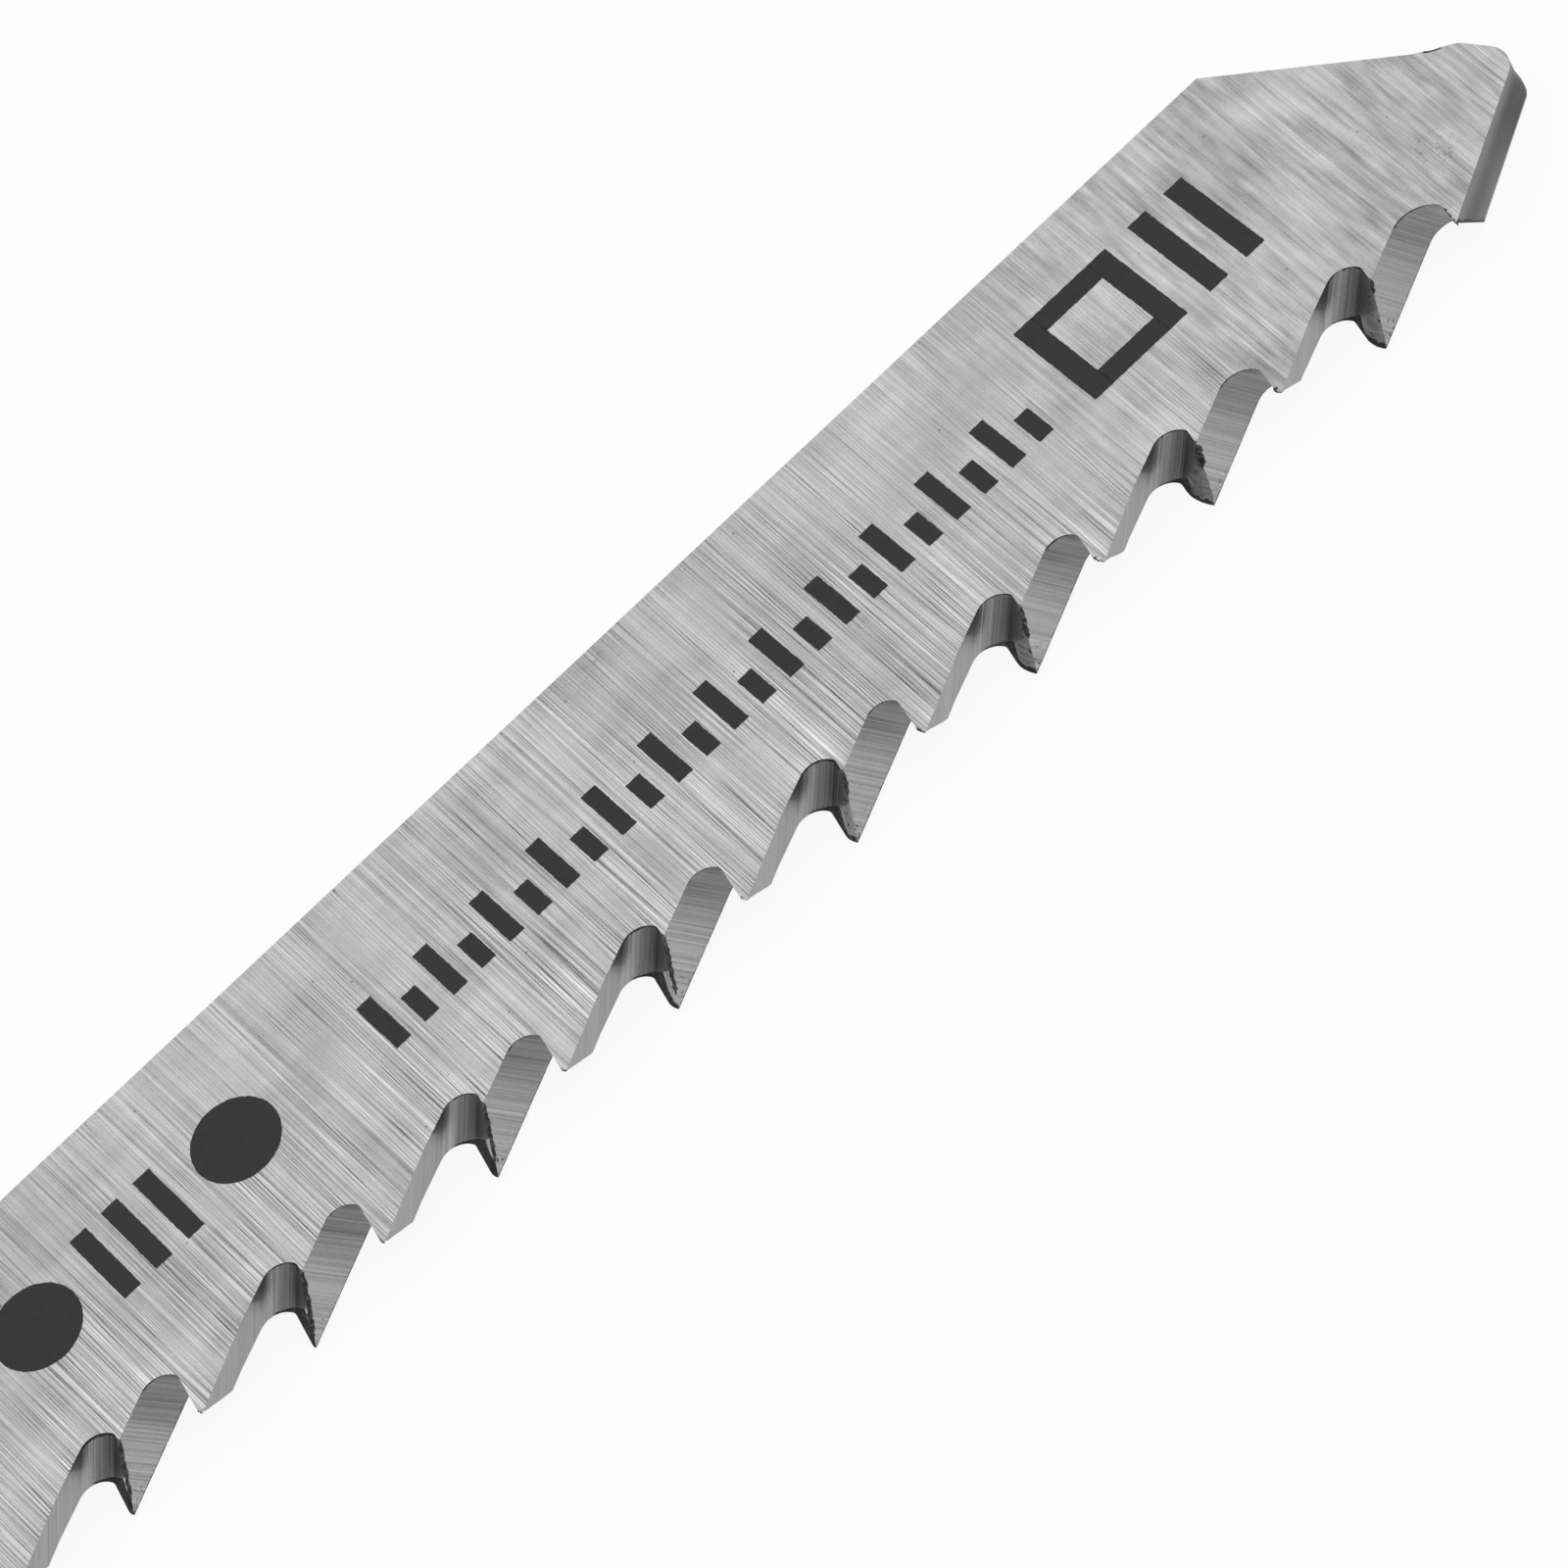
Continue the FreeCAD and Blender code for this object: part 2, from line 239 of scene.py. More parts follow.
def stamped_blank():
    """The strip as its die leaves it, still full thickness."""
    edge_start = TOOTH_LINE - EDGE_STOCK + math.tan(LINE_LEAN) * (LAST_GULLET - BODY_START)
    lug_end = TANG_LENGTH + LUG_LENGTH
    back_corner = LENGTH - TIP_RUN
    cut_end = back_corner + TIP_CUT_DEPTH / math.tan(TIP_CUT_ANGLE)
    (step, slope_way), (cut_place, cut_way) = nose_lines()
    # The nose is left as the sharp corner where its two lines meet, and rounded afterwards
    nose = meeting_point((step, slope_way), (cut_place, cut_way))
    foot = cut_place + cut_way * (TOOTH_LINE - EDGE_STOCK - cut_place.y) / cut_way.y
    outline = [
        (0, TANG_CHAMFER - TANG_WIDTH / 2),
        (TANG_CHAMFER, -TANG_WIDTH / 2),
        (TANG_LENGTH, -TANG_WIDTH / 2),
        (TANG_LENGTH, -LUG_SPAN / 2),
        (lug_end, -LUG_SPAN / 2),
        (lug_end, -SHANK_WIDTH / 2),
        (SHANK_LENGTH, -SHANK_WIDTH / 2),
        (BODY_START, edge_start),
        tuple(foot),
        tuple(nose),
        tuple(step),
        (cut_end, BACK - TIP_CUT_DEPTH),
        (back_corner, BACK),
        (BODY_START, BACK),
        (SHANK_LENGTH, SHANK_WIDTH / 2),
        (lug_end, SHANK_WIDTH / 2),
        (lug_end, LUG_SPAN / 2),
        (TANG_LENGTH, LUG_SPAN / 2),
        (TANG_LENGTH, TANG_WIDTH / 2),
        (TANG_CHAMFER, TANG_WIDTH / 2),
        (0, TANG_WIDTH / 2 - TANG_CHAMFER),
    ]
    bm = prism(outline, 0, STRIP_THICKNESS, STAMPED)
    for face in bm.faces:
        middle = face.calc_center_median()
        if abs(face.normal.z) < 0.5 and middle.x > BODY_START:
            faces_tip = face.normal.x > 0.3 and middle.y < nose.y
            face.material_index = END_CUT if faces_tip else EDGE
    round_corners(bm, [step], STEP_ROUND, STEP_SEGMENTS)
    lugs = [(x, side * LUG_SPAN / 2) for x in (TANG_LENGTH, lug_end) for side in (1, -1)]
    roots = [(TANG_LENGTH, side * TANG_WIDTH / 2) for side in (1, -1)]
    roots += [(lug_end, side * SHANK_WIDTH / 2) for side in (1, -1)]
    round_corners(bm, lugs, LUG_ROUND)
    round_corners(bm, roots, ROOT_ROUND)
    for side in (1, -1):
        round_corners(bm, [(SHANK_LENGTH, side * SHANK_WIDTH / 2)], SHOULDER_ROUND)
    rim = [
        edge for edge in bm.edges
        if all(v.co.z > STRIP_THICKNESS - 1e-4 for v in edge.verts)
    ]
    bmesh.ops.bevel(
        bm, geom=rim, offset=STAMPED_ROUND, offset_type="OFFSET", affect="EDGES",
        segments=RIM_SEGMENTS, profile=0.5, material=STAMPED, clamp_overlap=False,
    )
    return make_object("jigsaw_blade_ground", bm)


def wheel_cutter(side):
    """What the big wheel takes off one face: a wedge towards the back, with a round run-out."""
    past_tip, half_width, steps = LENGTH + 5, 15, 24
    outline = [(GROUND_FROM, 0), (past_tip, 0), (past_tip, WHEEL_RADIUS * (1 - math.cos(WHEEL_SWEEP)))]
    for number in range(steps):
        angle = WHEEL_SWEEP * (1 - number / steps)
        outline.append((
            GROUND_FROM - WHEEL_RADIUS * math.sin(angle),
            WHEEL_RADIUS * (1 - math.cos(angle)),
        ))
    bm = prism(outline, -half_width, half_width, SIDE)
    # The prism's height becomes the way across the blade, and its Y the way up
    turn = Matrix(((1, 0, 0, 0), (0, 0, 1, 0), (0, 1, 0, GROUND_HEIGHT), (0, 0, 0, 1)))
    lean = Matrix.Identity(4)
    lean[2][1] = -TAPER
    lift = Matrix.Translation((0, 0, MIDDLE))
    mirror = Matrix.Scale(side, 4, (0, 0, 1))
    bmesh.ops.transform(bm, matrix=lift @ mirror @ lean @ turn, verts=bm.verts)
    bmesh.ops.recalc_face_normals(bm, faces=bm.faces)
    return make_object("face_wheel", bm)


def gullet_round(kind, number):
    """Radius of a gullet's round top, counted from the tip."""
    if kind == "to_shank" and number < len(SHANKWARD_ROUNDS):
        return SHANKWARD_ROUNDS[number]
    return GULLET_KINDS[kind]["round"]


def gullet_centre(kind, number, level):
    """Centre of a gullet's round top in the tooth line's frame, at a height from the middle."""
    sizes = GULLET_KINDS[kind]
    shown = min(number, LAST_SHOWN)
    setback = sizes["setback"] + sizes["step"] * shown + 2 * PITCH * (number - shown)
    height = sizes["depth"] - gullet_round(kind, number) + sizes["rise"] * shown
    return Vector((math.tan(sizes["bevel"]) * level - setback, height))


def gullet_wall(kind, number, level, angle):
    """Where a gullet's round ends at an angle, and the direction up along the wall from there."""
    outward = at_angle(angle)
    start = gullet_centre(kind, number, level) + gullet_round(kind, number) * outward
    return start, Vector((abs(outward.y), abs(outward.x)))


def cutting_wall(kind, number, level):
    """Where a cutting wall meets the gullet's round, and the direction up along it."""
    return gullet_wall(kind, number, level, -GULLET_KINDS[kind]["rake"])


def back_wall(kind, number, level):
    """Where a tooth's back starts to fall off, and the direction up along it below that."""
    clearance = GULLET_KINDS[kind]["clearance"]
    start, way = gullet_wall(kind, number, level, math.pi / 2 + clearance)
    return start - BEND_START * way, at_angle(clearance + BACK_BENDS[kind])


def gullet_outline(kind, number):
    """A gullet's outline at mid height, from the foot of its cutting wall over the top."""
    sizes = GULLET_KINDS[kind]
    rake, clearance = sizes["rake"], sizes["clearance"]
    centre, radius = gullet_centre(kind, number, 0), gullet_round(kind, number)
    wide, tight = WIDE_ARC * radius, TIGHT_ARC * radius
    off_wall = at_angle(-rake)
    up_wall = Vector((math.sin(rake), math.cos(rake)))
    off_back = Vector((-math.sin(clearance), math.cos(clearance)))
    # The wide arc touches the tooth's back and the lowered top
    drop = radius - TOP_DROP * radius - wide
    wide_centre = centre + Vector(((radius - wide - off_back.y * drop) / off_back.x, drop))
    # The tight arc touches the cutting wall, and the wide one from within
    start = centre + off_wall * (radius - tight) - wide_centre
    half = start.dot(up_wall)
    climb = math.sqrt(half ** 2 - start.length_squared + (wide - tight) ** 2) - half
    tight_centre = wide_centre + start + up_wall * climb
    between = tight_centre - wide_centre
    turn = math.atan2(between.y, between.x)
    steps = 16
    outline = []
    for middle, reach, first, last in (
        (tight_centre, tight, -rake, turn), (wide_centre, wide, turn, math.pi / 2 + clearance),
    ):
        for step in range(steps + 1):
            outline.append(middle + reach * at_angle(first + (last - first) * step / steps))
    # The two arcs share the place where they touch
    del outline[steps]
    wall_foot = outline[0] - Vector((math.tan(rake), 1)) * (outline[0].y + RUN_OUT)
    bend, back_way = back_wall(kind, number, 0)
    back_foot = bend - back_way * (bend.y + RUN_OUT) / back_way.y
    return [back_foot, wall_foot] + outline + [bend]


def gullet_cutters(kind, material):
    """A row of slanted blocks with the gullet's outline, every second tooth."""
    reach = 2
    shear = Matrix.Identity(4)
    shear[0][2] = math.tan(GULLET_KINDS[kind]["bevel"])
    bm = bmesh.new()
    for number in range(GULLETS_OF_EACH_KIND):
        part = prism(gullet_outline(kind, number), -reach, reach, material)
        bmesh.ops.transform(part, matrix=TOOTH_FRAME @ shear, verts=part.verts)
        add_to(bm, part)
    return make_object("gullet_wheels", bm)


def rounding_ring(point, first_way, second_way, radius, level):
    """Outline of what comes off a corner that is rounded. The first way is clockwise of the second."""
    half_angle = first_way.angle(second_way) / 2
    inward = (first_way + second_way).normalized()
    centre = point + inward * radius / math.sin(half_angle)
    off_first = Vector((first_way.y, -first_way.x))
    off_second = Vector((-second_way.y, second_way.x))
    start = math.atan2(off_second.y, off_second.x)
    sweep = math.pi - 2 * half_angle
    touch = radius / math.tan(half_angle)
    ring = [point + second_way * touch + off_second * PAST_SURFACE]
    turns = 12
    # Its ends stand off by a hair, so that no walls coincide
    hair = 0.002
    for turn in range(turns + 1):
        reach = radius + (hair if turn in (0, turns) else 0)
        ring.append(centre + reach * at_angle(start + sweep * turn / turns))
    ring.append(point + first_way * touch + off_first * PAST_SURFACE)
    ring.append(point - inward * PAST_CORNER)
    return [(*place, level) for place in ring]


def nose_cutter():
    """What rounds the nose, more towards the upper face, as the punch leaves it."""
    (step, slope_way), (cut_place, cut_way) = nose_lines()
    nose = meeting_point((step, slope_way), (cut_place, cut_way))
    low, high, levels = -0.2, 1.6, 20
    rings = []
    for number in range(levels + 1):
        level = low + (high - low) * number / levels
        share = smooth_share(level, 0.3, 0.85)
        radius = LOWER_NOSE_ROUND + (UPPER_NOSE_ROUND - LOWER_NOSE_ROUND) * share
        rings.append(rounding_ring(nose, -slope_way, -cut_way, radius, level))
    return make_object("nose_punch", loft(rings, END_CUT))


def tooth_point(wall_kind, back_kind, offset, number, level):
    """A tooth's sharp point at a height from the middle, and the ways up its two walls."""
    wall, wall_way = cutting_wall(wall_kind, number + offset, level)
    back, back_way = back_wall(back_kind, number, level)
    return meeting_point((wall, wall_way), (back, back_way)), back_way, wall_way


def lower_wear(number, level):
    """How far a point at the lower face is worn back, at a height from the middle."""
    below = LOWER_WEAR[number % len(LOWER_WEAR)]
    return below + (SLIGHT_WEAR - below) * smooth_share(level, -WEAR_FADE, WEAR_FADE)


def upper_wear(number, level):
    """How far a point at the upper face is worn back, at a height from the middle."""
    above = UPPER_WEAR[number % len(UPPER_WEAR)]
    return above + (SLIGHT_WEAR - above) * smooth_share(level, WEAR_FADE, -WEAR_FADE)


def worn_curve(point, back_way, wall_way, wear):
    """How wear rounds a tooth's point: from its cutting wall to a corner on its back."""
    start = point + wall_way * WALL_WEAR * wear
    control = point + wall_way * WEAR_BEND * wear
    end = point + back_way * wear
    steps = 8
    shares = [step / steps for step in range(steps + 1)]
    return [start.lerp(control, share).lerp(control.lerp(end, share), share) for share in shares]


def worn_ring(point, back_way, wall_way, wear, level):
    """Outline of what wear takes off a tooth's point."""
    unevenness = 0.004
    curve = worn_curve(point, back_way, wall_way, wear)
    ring = [curve[0] + Vector((-wall_way.y, wall_way.x)) * PAST_SURFACE]
    for place in curve:
        ring.append(place + Vector((random.uniform(-1, 1), random.uniform(-1, 1))) * unevenness)
    ring.append(curve[-1] + Vector((back_way.y, -back_way.x)) * PAST_SURFACE)
    ring.append(point - (wall_way + back_way).normalized() * PAST_CORNER)
    return [(*place, level) for place in ring]


def point_cutters(wall_kind, back_kind, offset, wear, material):
    """Slim blocks that wear every second point back a little."""
    span, levels = 1.4, 24
    bm = bmesh.new()
    for number in range(GULLETS_OF_EACH_KIND - offset):
        rings = []
        for step in range(levels + 1):
            level = span * (step / levels - 0.5)
            point, back_way, wall_way = tooth_point(wall_kind, back_kind, offset, number, level)
            amount = wear(number, level) * random.uniform(0.92, 1.08)
            rings.append(worn_ring(point, back_way, wall_way, amount, level))
        part = loft(rings, material)
        bmesh.ops.transform(part, matrix=TOOTH_FRAME, verts=part.verts)
        add_to(bm, part)
    return make_object("worn_points", bm)


def nick_cutters():
    """Small dents in the upper edge of the slanted cut and of the back."""
    start, stop = Vector((LENGTH - 1.11, BACK - 3.65)), Vector((LENGTH - 0.81, BACK - 3.88))
    half_length, depth = 0.21, 0.05
    nicks = [(start.lerp(stop, 0.5), stop - start, half_length, depth)]
    nicks_in_back, along = 9, Vector((1, 0))
    for _ in range(nicks_in_back):
        place = Vector((random.uniform(58, 95), BACK))
        half_length = random.uniform(0.03, 0.09)
        depth = random.uniform(0.012, 0.03)
        nicks.append((place, along, half_length, depth))
    bm = bmesh.new()
    for place, way, half_length, depth in nicks:
        part = bmesh.new()
        bmesh.ops.create_icosphere(part, subdivisions=2, radius=1)
        for corner in part.verts:
            corner.co *= random.uniform(0.85, 1.1)
        turn = Matrix.Rotation(math.atan2(way.y, way.x), 4, "Z")
        size = Matrix.Diagonal((half_length, depth, depth * 0.7, 1))
        spot = Matrix.Translation((*place, ground_height(place.y)))
        bmesh.ops.transform(part, matrix=spot @ turn @ size, verts=part.verts)
        add_to(bm, part)
    # The dents take the dark torn finish, partly torn metal and partly painted shade inside them
    for face in bm.faces:
        face.material_index = NICK
    return make_object("nicks", bm)


def roll(places, radius):
    """A thin uneven roll of torn metal through some places, thinner at both ends."""
    steps, sides = len(places) - 1, 8
    thinnest, fullness, wander = 0.25, 1.3, 0.25
    angles = [2 * math.pi * turn / sides for turn in range(sides)]
    rings = []
    for step, place in enumerate(places):
        way = (places[min(step + 1, steps)] - places[max(step - 1, 0)]).normalized()
        side = way.cross(Vector((0, 1, 0))).normalized()
        up = way.cross(side)
        bulge = max(math.sqrt(1 - (2 * step / steps - 1) ** 2), thinnest)
        thick = radius * min(bulge * fullness, 1) * random.uniform(0.7, 1.15)
        shift = side * random.uniform(-1, 1) + up * random.uniform(-1, 1)
        centre = place + shift * radius * wander
        rings.append([centre + thick * (math.cos(a) * side + math.sin(a) * up) for a in angles])
    return loft(rings, 0)


def burrs():
    """Turned lips on the cutting edges along the upper face, and torn rolls down the other teeth's."""
    bm = bmesh.new()
    upper = EDGE_THICKNESS / 2
    steps = 18
    for number in range(GULLETS_OF_EACH_KIND):
        thick = LIP_ROUNDS[number % len(LIP_ROUNDS)]
        level = upper - thick * 0.9
        point, back_way, wall_way = tooth_point("to_shank", "to_tip", 1, number, level)
        curve = worn_curve(point, back_way, wall_way, upper_wear(number, level))
        add_to(bm, roll([Vector((*place, level)) for place in curve], thick))
        thick = ROLL_ROUNDS[number % len(ROLL_ROUNDS)]
        length = ROLL_LENGTHS[number % len(ROLL_LENGTHS)]
        high = upper - thick * 0.8
        places = []
        for step in range(steps + 1):
            level = high - length * step / steps
            point, back_way, _ = tooth_point("to_tip", "to_shank", 0, number, level)
            places.append(Vector((*(point + back_way * lower_wear(number, level)), level)))
        add_to(bm, roll(places, thick))
    # The last tooth's cutting edge, from a little above its wall's upper end
    above, length = 0.1, 0.6
    level = upper - LAST_LIP_ROUND
    wall, way = cutting_wall("to_shank", 0, level)
    places = [
        Vector((*(wall + way * (above - length * step / steps)), level)) for step in range(steps + 1)
    ]
    add_to(bm, roll(places, LAST_LIP_ROUND))
    bmesh.ops.transform(bm, matrix=TOOTH_FRAME, verts=bm.verts)
    return make_object("burrs", bm)


def roughened(outline):
    """Points along a closed outline, each shifted a little, as the edge of a print is."""
    spacing, unevenness = 0.07, 0.007
    places = []
    for start, end in zip(outline, outline[1:] + outline[:1]):
        steps = max(round((end - start).length / spacing), 1)
        for step in range(steps):
            shift = Vector((random.uniform(-1, 1), random.uniform(-1, 1))) * unevenness
            places.append(start.lerp(end, step / steps) + shift)
    return places


def bar(left, right, low, high):
    """Outline of a printed bar."""
    return [Vector(place) for place in ((left, low), (right, low), (right, high), (left, high))]


def disc(x, y, radius):
    """Outline of a printed disc."""
    steps = 40
    turns = [2 * math.pi * step / steps for step in range(steps)]
    return [Vector((x + radius * math.cos(a), y + radius * math.sin(a))) for a in turns]


def printed_marks():
    """Plain shapes printed on the upper face: discs and bars, a row of ticks, a frame and bars."""
    # Discs and bars
    low, high, stroke = BACK - 4.08, BACK - 2.05, 0.45
    middle, radius = (low + high) / 2, (high - low) / 2
    shapes = [disc(x, middle, radius) for x in (60.05, 65.55)]
    shapes += [bar(x, x + stroke, low, high) for x in (61.7, 62.57, 63.45)]
    # Row of ticks
    low, high, stroke = BACK - 4.2, BACK - 2.74, 0.4
    first_tick, spacing, short = 69.15, 0.79, 0.6
    for number in range(24):
        x = first_tick + spacing * number
        top = high if number % 2 == 0 else low + short * (high - low)
        shapes.append(bar(x, x + stroke, low, top))
    # Frame and bars
    low, high, stroke = BACK - 4.39, BACK - 1.66, 0.52
    left, right, lap = 88.75, 91.4, 0.02
    shapes += [
        bar(left, left + stroke, low, high),
        bar(right - stroke, right, low, high),
        bar(left + stroke - lap, right - stroke + lap, low, low + stroke),
        bar(left + stroke - lap, right - stroke + lap, high - stroke, high),
    ]
    shapes += [bar(x, x + stroke, low, high) for x in (92.05, 93.1)]
    bm = bmesh.new()
    for shape in shapes:
        add_to(bm, prism(roughened(shape), 0, INK_THICKNESS, 0))
    for corner in bm.verts:
        corner.co.z += ground_height(corner.co.y) - INK_THICKNESS * 0.3
    return make_object("printed_marks", bm)


def bake_modifiers(thing):
    """Make an object's modifiers part of its mesh."""
    bpy.context.view_layer.update()
    done = bpy.data.meshes.new_from_object(thing.evaluated_get(bpy.context.evaluated_depsgraph_get()))
    thing.modifiers.clear()
    thing.data = done


def grind(blade, cutter):
    """Take the cutter's shape off the blade, and leave the cutter's finish on what it touched."""
    cut = blade.modifiers.new("grind", "BOOLEAN")
    cut.operation = "DIFFERENCE"
    cut.solver = "EXACT"
    cut.object = cutter
    bake_modifiers(blade)
    bpy.data.objects.remove(cutter)


def keep_edges_sharp(blade):
    """Shade rounds smoothly, with every real edge sharp."""
    bm = bmesh.new()
    bm.from_mesh(blade.data)
    for face in bm.faces:
        face.smooth = True
    for edge in bm.edges:
        edge.smooth = edge.calc_face_angle(math.pi) < SHARP_FROM
    bm.to_mesh(blade.data)
    bm.free()


def add_node(tree, kind, settings=(), **feeds):
    """Add a node, set its properties, and give its inputs a value or another node's output."""
    made = tree.nodes.new(kind)
    for name, value in dict(settings).items():
        setattr(made, name, value)
    for name, value in feeds.items():
        socket = made.inputs[int(name[1:])] if name[1:].isdigit() else made.inputs[name.replace("_", " ")]
        if isinstance(value, bpy.types.NodeSocket):
            tree.links.new(value, socket)
        else:
            socket.default_value = value
    return made


def math_node(tree, operation, *values, clamp=False):
    feeds = {f"i{place}": value for place, value in enumerate(values)}
    settings = {"operation": operation, "use_clamp": clamp}
    return add_node(tree, "ShaderNodeMath", settings, **feeds).outputs[0]


def product(tree, first, second):
    return math_node(tree, "MULTIPLY", first, second)


def total(tree, *values):
    result = values[0]
    for value in values[1:]:
        result = math_node(tree, "ADD", result, value)
    return result


def weighted(tree, *layers):
    """The sum of some layers, each given with its weight."""
    return total(tree, *(product(tree, value, weight) for value, weight in layers))


def combined(tree, x, y, z=0.0):
    return add_node(tree, "ShaderNodeCombineXYZ", i0=x, i1=y, i2=z).outputs[0]


def separated(tree, vector):
    return add_node(tree, "ShaderNodeSeparateXYZ", Vector=vector).outputs


def ramp(tree, value, low, high, start=0.0, end=1.0, smooth=True):
    """Turn a value between low and high into one between start and end, and hold it beyond them."""
    kind = "SMOOTHSTEP" if smooth else "LINEAR"
    return add_node(
        tree, "ShaderNodeMapRange", {"interpolation_type": kind},
        Value=value, From_Min=low, From_Max=high, To_Min=start, To_Max=end,
    ).outputs[0]


def mixed(tree, mask, low, high):
    """Low where the mask is 0 and high where it is 1."""
    return add_node(
        tree, "ShaderNodeMix", {"data_type": "FLOAT"}, Factor=mask, i2=low, i3=high).outputs[0]


def new_group(name, inputs, outputs):
    """Make an empty node group with named sockets, given as (name, kind, default)."""
    tree = bpy.data.node_groups.new(name, "ShaderNodeTree")
    for label, kind, default in inputs:
        socket = tree.interface.new_socket(label, in_out="INPUT", socket_type=kind)
        if default is not None:
            socket.default_value = default
    for label, kind in outputs:
        tree.interface.new_socket(label, in_out="OUTPUT", socket_type=kind)
    return tree, tree.nodes.new("NodeGroupInput"), tree.nodes.new("NodeGroupOutput")


def place_group(tree, group, **feeds):
    return add_node(tree, "ShaderNodeGroup", {"node_tree": group}, **feeds)


FLOAT, VECTOR = "NodeSocketFloat", "NodeSocketVector"


def places_on_blade():
    """Where a point is, in millimetres: its height above the tooth line, its depth below the upper
    ground face, its rise above the lower one, and which way its wall faces."""
    tree, _, out = new_group("places_on_blade", (), (
        ("Place", VECTOR), ("Along", FLOAT), ("Across", FLOAT), ("Height", FLOAT),
        ("Depth", FLOAT), ("Rise", FLOAT), ("Facing", FLOAT), ("Up", FLOAT),
    ))
    coordinates = add_node(tree, "ShaderNodeTexCoord")
    scale = (1 / MM, 1 / MM, 1 / MM)
    place = add_node(
        tree, "ShaderNodeMapping", Vector=coordinates.outputs["Object"], Scale=scale).outputs[0]
    along, across, up = separated(tree, place)
    from_gullet = math_node(tree, "SUBTRACT", along, LAST_GULLET - LENGTH / 2)
    lean = product(tree, from_gullet, math.sin(LINE_LEAN))
    height = math_node(tree, "ADD", lean, math_node(tree, "SUBTRACT", across, TOOTH_LINE))
    half = math_node(tree, "MULTIPLY_ADD", across, -TAPER, BACK_THICKNESS / 2 + TAPER * BACK)
    above_middle = math_node(tree, "SUBTRACT", up, MIDDLE)
    normal = separated(tree, coordinates.outputs["Normal"])
    flat = combined(tree, normal[0], normal[1])
    facing = add_node(tree, "ShaderNodeVectorMath", {"operation": "NORMALIZE"}, i0=flat).outputs[0]
    for name, value in (
        ("Place", place), ("Along", along), ("Across", across), ("Height", height),
        ("Depth", math_node(tree, "SUBTRACT", half, above_middle)),
        ("Rise", math_node(tree, "ADD", half, above_middle)),
        ("Facing", separated(tree, facing)[0]), ("Up", normal[2]),
    ):
        tree.links.new(value, out.inputs[name])
    return tree


def grinding_lines():
    """Lines that run along Y of the place that is given, from about -1 to 1."""
    tree, given, out = new_group("grinding_lines", (
        ("Place", VECTOR, None), ("Lines per mm", FLOAT, 8.0), ("Run", FLOAT, 0.2), ("Detail", FLOAT, 2.0),
    ), (("Lines", FLOAT),))
    stretch = combined(tree, given.outputs["Lines per mm"], given.outputs["Run"], given.outputs["Run"])
    scaled = add_node(
        tree, "ShaderNodeVectorMath", {"operation": "MULTIPLY"}, i0=given.outputs["Place"], i1=stretch)
    noise = add_node(
        tree, "ShaderNodeTexNoise", Vector=scaled.outputs[0], Scale=1.0,
        Detail=given.outputs["Detail"], Roughness=0.6)
    centred = math_node(tree, "SUBTRACT", noise.outputs["Fac"], 0.5)
    tree.links.new(product(tree, centred, 4.0), out.inputs["Lines"])
    return tree


def pits():
    """Small scattered pits, 1 inside them and 0 between them."""
    tree, given, out = new_group("pits", (
        ("Place", VECTOR, None), ("Pits per mm", FLOAT, 2.0), ("Size", FLOAT, 0.1), ("Share", FLOAT, 0.3),
    ), (("Pits", FLOAT),))
    cells = add_node(
        tree, "ShaderNodeTexVoronoi", Vector=given.outputs["Place"],
        Scale=given.outputs["Pits per mm"], Randomness=1.0)
    chance = add_node(tree, "ShaderNodeSeparateColor", Color=cells.outputs["Color"]).outputs[0]
    kept = math_node(tree, "LESS_THAN", chance, given.outputs["Share"])
    near = math_node(tree, "LESS_THAN", cells.outputs["Distance"], given.outputs["Size"])
    tree.links.new(product(tree, kept, near), out.inputs["Pits"])
    return tree


def line_noise(tree, groups, place, per_mm, run, detail):
    """Grinding lines, with how many there are to the millimetre and how often they change in it."""
    return place_group(
        tree, groups["lines"], Place=place, Lines_per_mm=per_mm, Run=run, Detail=detail).outputs[0]


def grain_noise(tree, groups, spot, per_mm, detail):
    """Grain with no direction."""
    return line_noise(tree, groups, spot.outputs["Place"], per_mm, per_mm, detail)


def ragged_noise(tree, groups, spot):
    """Noise that makes an edge ragged."""
    return grain_noise(tree, groups, spot, 9.0, 2.0)


def pit_mask(tree, groups, spot, per_mm, size, share):
    return place_group(
        tree, groups["pits"], Place=spot.outputs["Place"], Pits_per_mm=per_mm, Size=size, Share=share,
    ).outputs[0]


def new_material(groups, name):
    """A material, its node tree and shader, and where its points are on the blade."""
    material = bpy.data.materials.new(name)
    material.use_nodes = True
    tree = material.node_tree
    return material, tree, tree.nodes["Principled BSDF"], place_group(tree, groups["places"])


def grey(tree, value):
    """A neutral colour of the given brightness."""
    return add_node(tree, "ShaderNodeCombineColor", Red=value, Green=value, Blue=value).outputs[0]


def finish_steel(tree, shader, tone, lines, metallic, roughness, bump, matt=None):
    """Give a steel surface its brightness, and let its lines change its gloss and relief. Where it
    is matt, it doesn't shine like bare metal."""
    gloss_spread, matt_roughness, relief_depth = 0.05, 0.9, 0.01 * MM
    shader.inputs["Metallic"].default_value = metallic
    tree.links.new(grey(tree, tone), shader.inputs["Base Color"])
    gloss = math_node(tree, "MULTIPLY_ADD", lines, gloss_spread, roughness, clamp=True)
    if matt:
        tree.links.new(mixed(tree, matt, metallic, 0.0), shader.inputs["Metallic"])
        gloss = mixed(tree, matt, gloss, matt_roughness)
    tree.links.new(gloss, shader.inputs["Roughness"])
    relief = add_node(tree, "ShaderNodeBump", Strength=bump, Distance=relief_depth, Height=lines)
    tree.links.new(relief.outputs[0], shader.inputs["Normal"])


